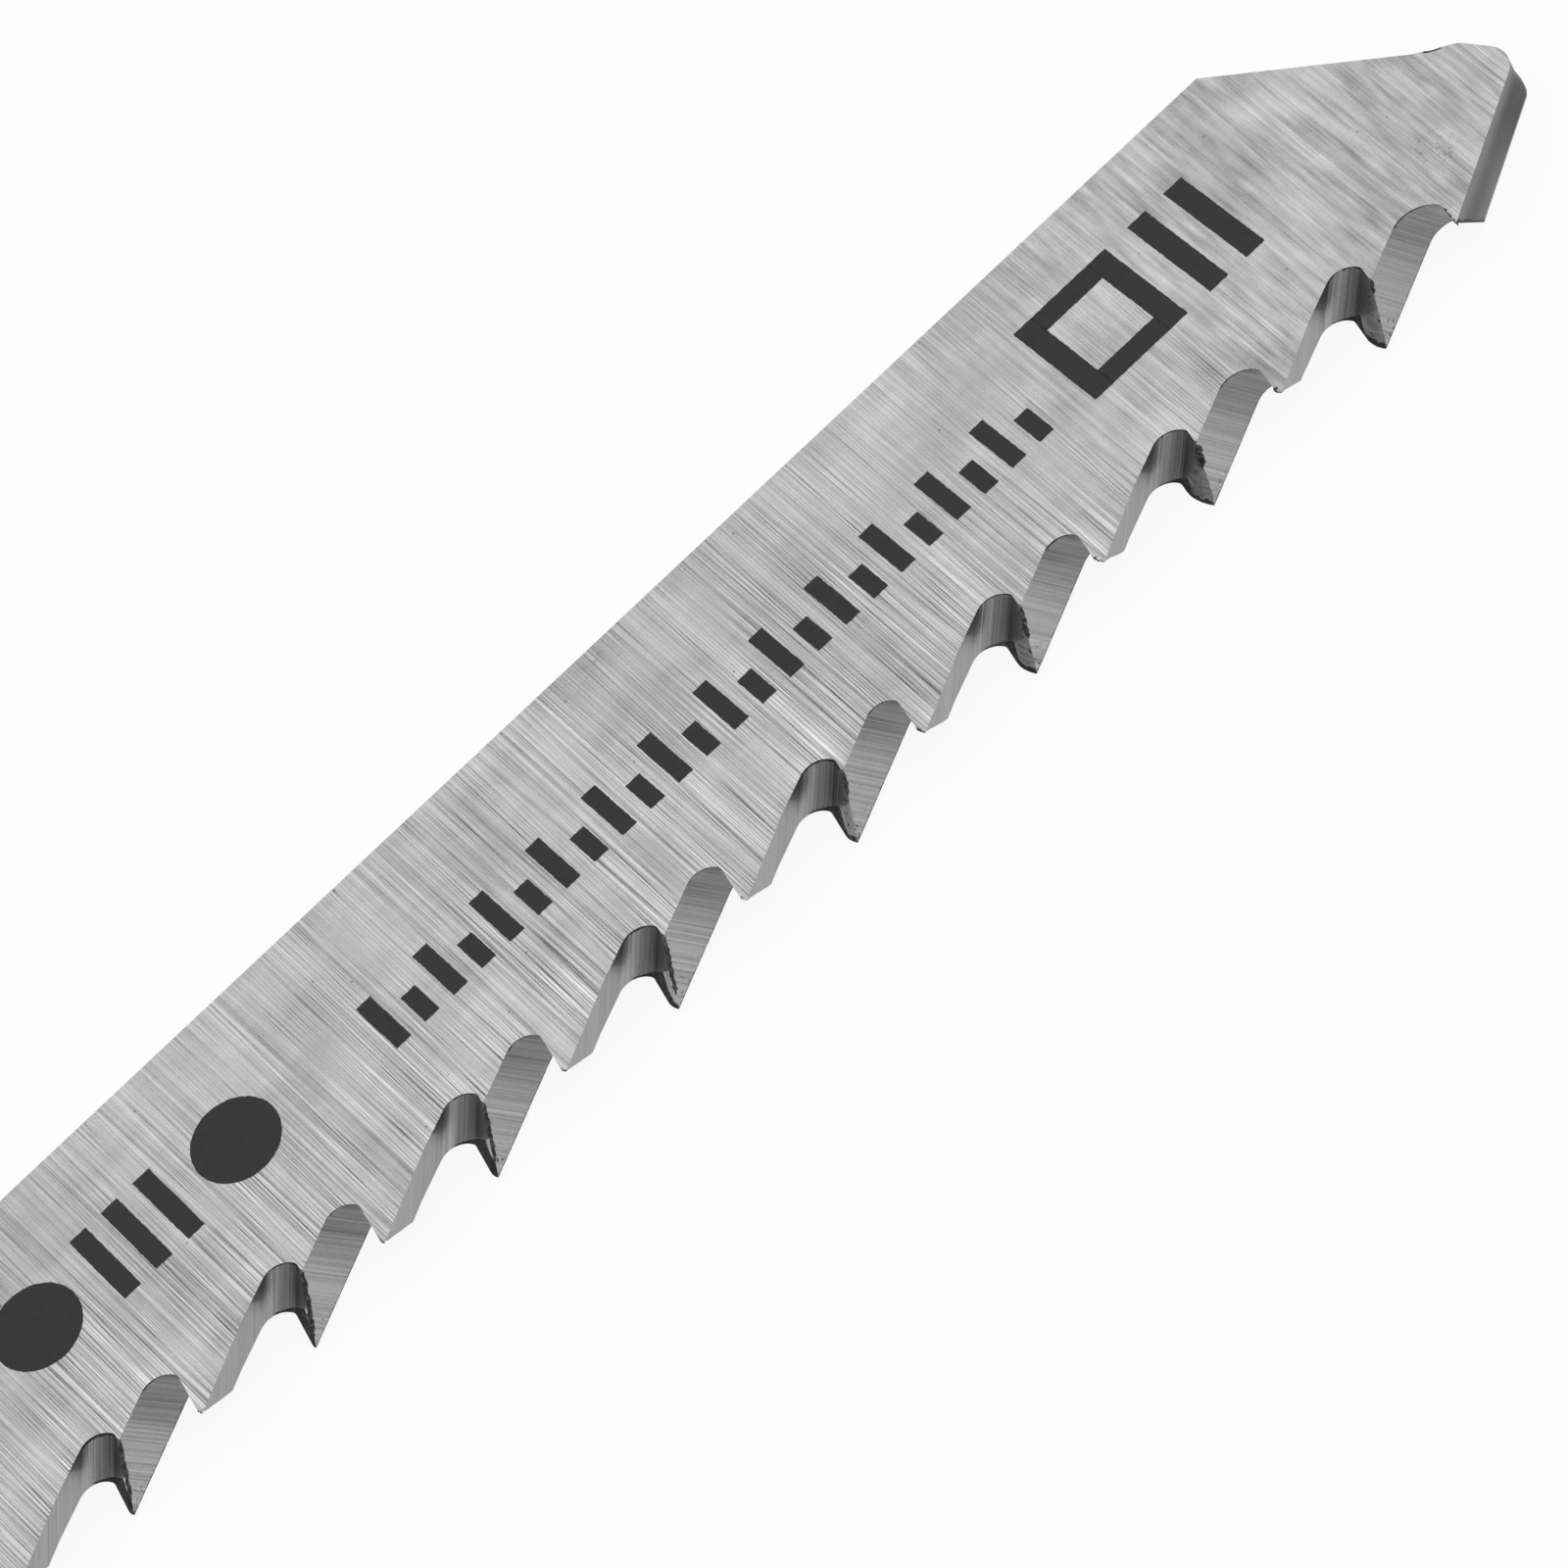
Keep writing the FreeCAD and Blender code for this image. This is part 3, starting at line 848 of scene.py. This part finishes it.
def ground_side(groups):
    """The wide faces, ground across the blade."""
    material, tree, shader, spot = new_material(groups, "ground_side")
    along, across = spot.outputs["Along"], spot.outputs["Across"]
    # The lines lean a little more the nearer they are to the tip, and others cross them
    upright_at, lean_per_mm, crossing_lean, other_slice = 10.0, 0.0014, 0.035, 7.0
    lean = product(tree, math_node(tree, "SUBTRACT", along, upright_at), lean_per_mm)
    straight = math_node(tree, "SUBTRACT", along, product(tree, lean, across))
    place = combined(tree, straight, across, spot.outputs["Up"])
    crossed = math_node(tree, "MULTIPLY_ADD", across, crossing_lean, straight)
    crossed_place = combined(tree, crossed, across, other_slice)
    fine = line_noise(tree, groups, place, 26.0, 0.05, 1.0)
    crossing = line_noise(tree, groups, crossed_place, 19.0, 0.07, 1.0)
    wide = line_noise(tree, groups, place, 1.1, 0.1, 2.0)
    cloud = line_noise(tree, groups, spot.outputs["Place"], 0.45, 0.6, 3.0)
    patchy = ramp(tree, line_noise(tree, groups, place, 1.2, 0.5, 1.0), -0.8, 0.8, 0.55, 1.35)
    grain = grain_noise(tree, groups, spot, 26.0, 1.0)
    scratches = ramp(tree, line_noise(tree, groups, crossed_place, 13.0, 0.12, 0.0), 0.7, 1.0)
    # Evenly spaced fine lines, which wander a little
    even_per_mm, wander = 13, 6.0
    wandering = line_noise(tree, groups, place, 4.0, 0.08, 0.0)
    even = math_node(tree, "SINE", weighted(
        tree, (straight, 2 * math.pi * even_per_mm), (wandering, wander)))
    # Broader streaks near the tip, clouds there that paint a soft sheen, and one long dark mark
    streaks = product(tree, line_noise(tree, groups, place, 7.0, 0.7, 1.0), ramp(tree, along, 32.0, 45.0))
    tip_cloud = line_noise(tree, groups, spot.outputs["Place"], 1.6, 1.0, 2.0)
    painted_tip_sheen = product(tree, tip_cloud, ramp(tree, along, 38.0, 47.0))
    mark_at = 47.72
    from_mark = math_node(tree, "ABSOLUTE", math_node(tree, "SUBTRACT", straight, mark_at))
    mark = product(tree, ramp(tree, from_mark, 0.06, 0.01), ramp(tree, across, -3.5, -0.5))
    # Fine lines are faint near the tip and along the back
    toward_tip = ramp(tree, along, 32.0, 44.0, 1.0, 0.35)
    toward_back = ramp(tree, across, -2.0, 3.0, 1.0, 0.6)
    strength = product(tree, product(tree, toward_tip, toward_back), patchy)
    all_fine = weighted(tree, (fine, 1.0), (crossing, 0.8), (scratches, 0.5), (even, 0.52))
    lines = product(tree, all_fine, strength)
    change = weighted(
        tree, (lines, 0.42), (wide, 0.08), (painted_tip_sheen, 0.07), (cloud, 0.2), (grain, 0.09),
        (streaks, 0.26), (mark, -0.27))
    # Scattered specks, and a patch of small pits near the tip
    patch_at, outer, inner, patch_strength = (47.4, -2.2, 0.0), 0.65, 0.35, 0.6
    specks = pit_mask(tree, groups, spot, 1.8, 0.05, 0.3)
    small_pits = pit_mask(tree, groups, spot, 11.0, 0.35, 0.4)
    flat_place = combined(tree, along, across)
    from_patch = add_node(
        tree, "ShaderNodeVectorMath", {"operation": "DISTANCE"}, i0=flat_place, i1=patch_at)
    patch = product(tree, ramp(tree, from_patch.outputs["Value"], outer, inner), small_pits)
    spots = math_node(tree, "MAXIMUM", specks, product(tree, patch, patch_strength))
    contrast, middle_tone = 0.48, 0.475
    tone = math_node(tree, "MULTIPLY_ADD", change, contrast, middle_tone)
    pitted = product(tree, tone, ramp(tree, spots, 0.0, 1.0, 1.0, 0.5))
    finish_steel(tree, shader, pitted, lines, metallic=0.9, roughness=0.38, bump=0.25)
    return material


def gullet(groups, name, kind, tone_of):
    """A gullet's wall, with its lines along the way that the wheel went through the blade."""
    material, tree, shader, spot = new_material(groups, name)
    slant = math.tan(GULLET_KINDS[kind]["bevel"])
    up = separated(tree, spot.outputs["Place"])[2]
    sheared = math_node(tree, "MULTIPLY_ADD", up, -slant, spot.outputs["Along"])
    place = combined(tree, sheared, spot.outputs["Across"])
    fine = line_noise(tree, groups, place, 20.0, 20.0, 1.0)
    middle = line_noise(tree, groups, place, 8.0, 8.0, 1.0)
    wide = line_noise(tree, groups, place, 3.0, 3.0, 2.0)
    grain = grain_noise(tree, groups, spot, 14.0, 1.0)
    tone, matt = tone_of(tree, groups, spot)
    change = weighted(tree, (fine, 0.3), (middle, 0.1), (wide, 0.06), (grain, 0.06))
    tone = product(tree, tone, math_node(tree, "ADD", change, 1.0))
    # A ragged dark line follows the upper edge of the round top, on some gullets more than on others:
    # partly a burr, partly painted shade along the edge
    dark, line_width, width_spread, raggedness, softness = 0.03, 0.045, 0.03, 0.03, 0.012
    ragged = ragged_noise(tree, groups, spot)
    by_tooth = grain_noise(tree, groups, spot, 0.3, 0.0)
    reach = math_node(tree, "MULTIPLY_ADD", by_tooth, width_spread, line_width)
    near_edge = total(tree, spot.outputs["Depth"], product(tree, ragged, raggedness))
    past = math_node(tree, "SUBTRACT", near_edge, reach)
    on_round = ramp(tree, spot.outputs["Facing"], 0.44, 0.3)
    burr_and_shade_line = product(tree, ramp(tree, past, softness, -softness), on_round)
    tone = mixed(tree, burr_and_shade_line, tone, dark)
    finish_steel(tree, shader, tone, fine, metallic=0.85, roughness=0.42, bump=0.3, matt=matt)
    return material


def shankward_tone(tree, groups, spot):
    """Gullets that slant towards the shank: an even grey, with painted shade darker towards the top."""
    height, rise, dark = spot.outputs["Height"], spot.outputs["Rise"], 0.07
    # Painted shade: the tone darkens up towards the top of the gullet
    tone = ramp(tree, height, 0.55, 1.3, 0.37, 0.235)
    ragged = ragged_noise(tree, groups, spot)
    rim = ramp(tree, total(tree, rise, product(tree, ragged, 0.02)), 0.03, 0.01)
    # Dark crumbs near the points at the lower face
    near_point = product(tree, ramp(tree, height, 0.5, 0.15), ramp(tree, rise, 0.5, 0.2))
    crumbs = product(tree, near_point, ramp(tree, ragged, 0.35, 0.55))
    return mixed(tree, math_node(tree, "MAXIMUM", rim, crumbs), tone, dark), None


def cutting_wall_tone(tree, groups, spot, above):
    """The lower part of a cutting wall that slants towards the tip: a light patch, and a dark band
    along its far edge that gets wider from tooth to tooth towards the shank. Gives the tone, and
    where the dark band is."""
    along, height, depth, rise, facing = (
        spot.outputs[name] for name in ("Along", "Height", "Depth", "Rise", "Facing"))
    ragged = ragged_noise(tree, groups, spot)
    # The patch starts at a slanted line, and the band at another one
    from_line = weighted(tree, (depth, 0.882), (height, -0.682), (facing, 0.2), (ragged, 0.01))
    below = product(tree, ramp(tree, from_line, 0.045, 0.06), ramp(tree, facing, -0.2, -0.4))
    band = ramp(tree, along, 19.0, 40.0, 1.116, 1.626, smooth=False)
    past_band = weighted(tree, (depth, 1.0), (height, 0.821), (band, -1.0), (ragged, 0.03))
    at_edge = weighted(tree, (rise, 1.0), (ragged, 0.03))
    dark = math_node(tree, "MAXIMUM", ramp(tree, past_band, -0.02, 0.02), ramp(tree, at_edge, 0.1, 0.07))
    dark = product(tree, dark, below)
    patch_tone = ramp(tree, along, 12.0, 36.0, 0.75, 0.2)
    dark_tone = ramp(tree, ragged, 0.1, 0.9, 0.012, 0.09)
    # Above the patch the wall keeps the tone that is given, which is painted shade in both callers
    return mixed(tree, dark, mixed(tree, below, above, patch_tone), dark_tone), dark


def tipward_tone(tree, groups, spot):
    """Gullets that slant towards the tip: grey on the tooth's back, with painted shade darker round the
    top and on the cutting wall, and a lighter patch near the point."""
    facing, depth, height = (spot.outputs[name] for name in ("Facing", "Depth", "Height"))
    back_tone = ramp(tree, facing, 0.42, 0.3, 0.32, 0.36)
    # Painted shade: darker by which way the wall faces, round the top and on the cutting wall
    tone = mixed(tree, ramp(tree, facing, 0.0, -0.75), back_tone, 0.14)
    # Painted shade: a dark wedge at the upper face, where the back runs into the round
    steepness, reach = -2.23, 2.32
    past = math_node(tree, "MULTIPLY_ADD", height, steepness, math_node(tree, "ADD", depth, reach))
    wedge = product(tree, ramp(tree, past, 0.03, -0.03), ramp(tree, facing, 0.0, 0.35))
    tone = mixed(tree, wedge, tone, ramp(tree, depth, 0.0, 0.6, 0.15, 0.27))
    return cutting_wall_tone(tree, groups, spot, tone)


def plain_steel(groups, name, tone):
    """Steel with an even tone and fine lines along the blade."""
    material, tree, shader, spot = new_material(groups, name)
    x, y, z = separated(tree, spot.outputs["Place"])
    place = combined(tree, math_node(tree, "ADD", z, y), x, y)
    fine = line_noise(tree, groups, place, 10.0, 0.3, 3.0)
    cloud = grain_noise(tree, groups, spot, 0.5, 3.0)
    change = math_node(tree, "ADD", weighted(tree, (fine, 0.1), (cloud, 0.08)), 1.0)
    finish_steel(
        tree, shader, product(tree, change, tone), fine, metallic=0.85, roughness=0.45, bump=0.2)
    return material


def end_cut(groups):
    """The punched end: painted shade, darker towards the nose, a painted highlight as a light rim along
    its far edge, and a dark foot.
    """
    material, tree, shader, spot = new_material(groups, "end_cut")
    height, depth = spot.outputs["Height"], spot.outputs["Depth"]
    # Painted shade: darker towards the nose and across the cut
    shade_towards_nose = ramp(tree, height, 0.9, 2.0)
    low_tone = mixed(tree, ramp(tree, depth, 0.65, 1.1), ramp(tree, depth, 0.05, 0.55, 0.2, 0.11), 0.17)
    high_tone = ramp(tree, depth, 0.0, 0.5, 0.2, 0.05)
    tone = mixed(tree, shade_towards_nose, low_tone, high_tone)
    # Painted highlight: a light rim along the far edge
    tone = mixed(tree, ramp(tree, spot.outputs["Rise"], 0.07, 0.03), tone, 0.3)
    # The cut's foot rises with the slant of the last gullet
    foot_slant, foot_top, foot_end = -0.351, 0.225, 0.205
    ragged = ragged_noise(tree, groups, spot)
    above_foot = weighted(tree, (height, 1.0), (depth, foot_slant), (ragged, 0.03))
    tone = mixed(tree, ramp(tree, above_foot, foot_top, foot_end), tone, 0.03)
    grain = grain_noise(tree, groups, spot, 16.0, 2.0)
    tone = product(tree, tone, math_node(tree, "MULTIPLY_ADD", grain, 0.14, 1.0))
    finish_steel(tree, shader, tone, grain, metallic=0.85, roughness=0.42, bump=0.2)
    return material


def worn_wall(groups):
    """Worn cutting walls near the points: as the rest of the wall, with its painted shade, less even."""
    material, tree, shader, spot = new_material(groups, "worn_cutting_face")
    ragged = ragged_noise(tree, groups, spot)
    # Painted shade: above the light patch the wall keeps the dark tone of the shaded cutting walls
    tone, dark = cutting_wall_tone(tree, groups, spot, 0.14)
    grain = grain_noise(tree, groups, spot, 22.0, 2.0)
    tone = product(tree, tone, math_node(tree, "MULTIPLY_ADD", grain, 0.2, 1.0))
    tone = mixed(tree, ramp(tree, ragged, 0.55, 0.7), tone, 0.04)
    finish_steel(tree, shader, tone, grain, metallic=0.85, roughness=0.45, bump=0.3, matt=dark)
    return material


def torn_steel_and_dent_shade(groups):
    """Torn metal: dark with small bright chips. In the nicks its darkness is also painted shade inside the
    dents.
    """
    material, tree, shader, spot = new_material(groups, "torn_metal_and_dent_shade")
    chips = grain_noise(tree, groups, spot, 24.0, 1.0)
    tone = ramp(tree, ragged_noise(tree, groups, spot), -0.4, 0.8, 0.01, 0.07)
    tone = mixed(tree, ramp(tree, chips, 0.6, 1.0), tone, 0.25)
    finish_steel(tree, shader, tone, chips, metallic=0.4, roughness=0.6, bump=0.5)
    return material


def ink(groups):
    """Matt dark ink, a little thinner in places."""
    material, tree, shader, spot = new_material(groups, "printed_ink")
    ink_tone = 0.012
    thin = grain_noise(tree, groups, spot, 6.0, 3.0)
    grain = grain_noise(tree, groups, spot, 24.0, 1.0)
    tone = math_node(tree, "ADD", weighted(tree, (thin, 0.003), (grain, 0.004)), ink_tone)
    finish_steel(tree, shader, tone, grain, metallic=0.0, roughness=0.6, bump=0.2)
    shader.inputs["Specular IOR Level"].default_value = 0.4
    return material


def white_table():
    """A pale table that keeps a soft shadow, and is seen as nearly white."""
    material = bpy.data.materials.new("white_table")
    material.use_nodes = True
    tree = material.node_tree
    shader = tree.nodes["Principled BSDF"]
    shader.inputs["Base Color"].default_value = (0.95, 0.95, 0.95, 1)
    shader.inputs["Roughness"].default_value = 0.8
    share_of_white = 0.87
    light_path = add_node(tree, "ShaderNodeLightPath")
    kinds = ("Camera", "Glossy", "Transmission")
    seen = total(tree, *(light_path.outputs[f"Is {kind} Ray"] for kind in kinds))
    white = add_node(tree, "ShaderNodeEmission", Strength=1.0)
    mostly = math_node(tree, "MULTIPLY", seen, share_of_white, clamp=True)
    both = add_node(tree, "ShaderNodeMixShader", i0=mostly, i1=shader.outputs[0], i2=white.outputs[0])
    tree.links.new(both.outputs[0], tree.nodes["Material Output"].inputs["Surface"])
    return material


# Blade
random.seed(11)
groups = {"places": places_on_blade(), "lines": grinding_lines(), "pits": pits()}
finishes = [
    plain_steel(groups, "stamped_shank", 0.42),
    ground_side(groups),
    gullet(groups, "gullet_to_shank", "to_shank", shankward_tone),
    gullet(groups, "gullet_to_tip", "to_tip", tipward_tone),
    plain_steel(groups, "smooth_back", 0.4),
    end_cut(groups),
    worn_wall(groups),
    torn_steel_and_dent_shade(groups),
]
blade = stamped_blank()
for finish in finishes:
    blade.data.materials.append(finish)
cutters = [
    nose_cutter(), wheel_cutter(1), wheel_cutter(-1), nick_cutters(),
    gullet_cutters("to_shank", TO_SHANK), gullet_cutters("to_tip", TO_TIP),
    point_cutters("to_tip", "to_shank", 0, lower_wear, WORN_FACE),
    point_cutters("to_shank", "to_tip", 1, upper_wear, NICK),
]
for cutter in cutters:
    for finish in finishes:
        cutter.data.materials.append(finish)
    grind(blade, cutter)
keep_edges_sharp(blade)

to_metres = Matrix.Diagonal((MM, MM, MM, 1)) @ Matrix.Translation((-LENGTH / 2, 0, 0))
blade.data.transform(to_metres)
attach(blade, "root")
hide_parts("jigsaw_blade")

# Torn metal and print
lips = burrs()
lips.data.materials.append(finishes[NICK])
marks = printed_marks()
marks.data.materials.append(ink(groups))
for piece in (lips, marks):
    piece.data.transform(to_metres)
    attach(piece, "root")

# Table, a hair below the blade, so that no two faces share a place
TABLE_HALF_WIDTH, TABLE_GAP = 1500, 0.01
bm = bmesh.new()
bmesh.ops.create_grid(bm, x_segments=1, y_segments=1, size=TABLE_HALF_WIDTH * MM)
bmesh.ops.translate(bm, vec=(0, 0, -TABLE_GAP * MM), verts=bm.verts)
table = make_object("table", bm)
table.data.materials.append(white_table())

# Camera, fitted to the teeth and the back
CAMERA_PLACE = (5.973, -104.041, 135.364)
CAMERA_TURN, LOOKS_DOWN, CAMERA_LEAN = -12.496, 52.230, -33.451
camera = bpy.data.objects.new("camera", bpy.data.cameras.new("camera"))
bpy.context.scene.collection.objects.link(camera)
bpy.context.scene.camera = camera
stand = Matrix.Translation(Vector(CAMERA_PLACE) * MM)
turn = Matrix.Rotation(math.radians(CAMERA_TURN), 4, "Z")
tilt = Matrix.Rotation(math.radians(90 - LOOKS_DOWN), 4, "X")
lean = Matrix.Rotation(math.radians(CAMERA_LEAN), 4, "Z")
camera.matrix_world = stand @ turn @ tilt @ lean
camera.data.lens = 192.247
camera.data.sensor_width = 36
camera.data.clip_start = 0.001

# Light
world = bpy.data.worlds.new("studio")
world.use_nodes = True
world.node_tree.nodes["Background"].inputs["Color"].default_value = (1, 1, 1, 1)
bpy.context.scene.world = world
bpy.context.scene.view_settings.view_transform = "Standard"
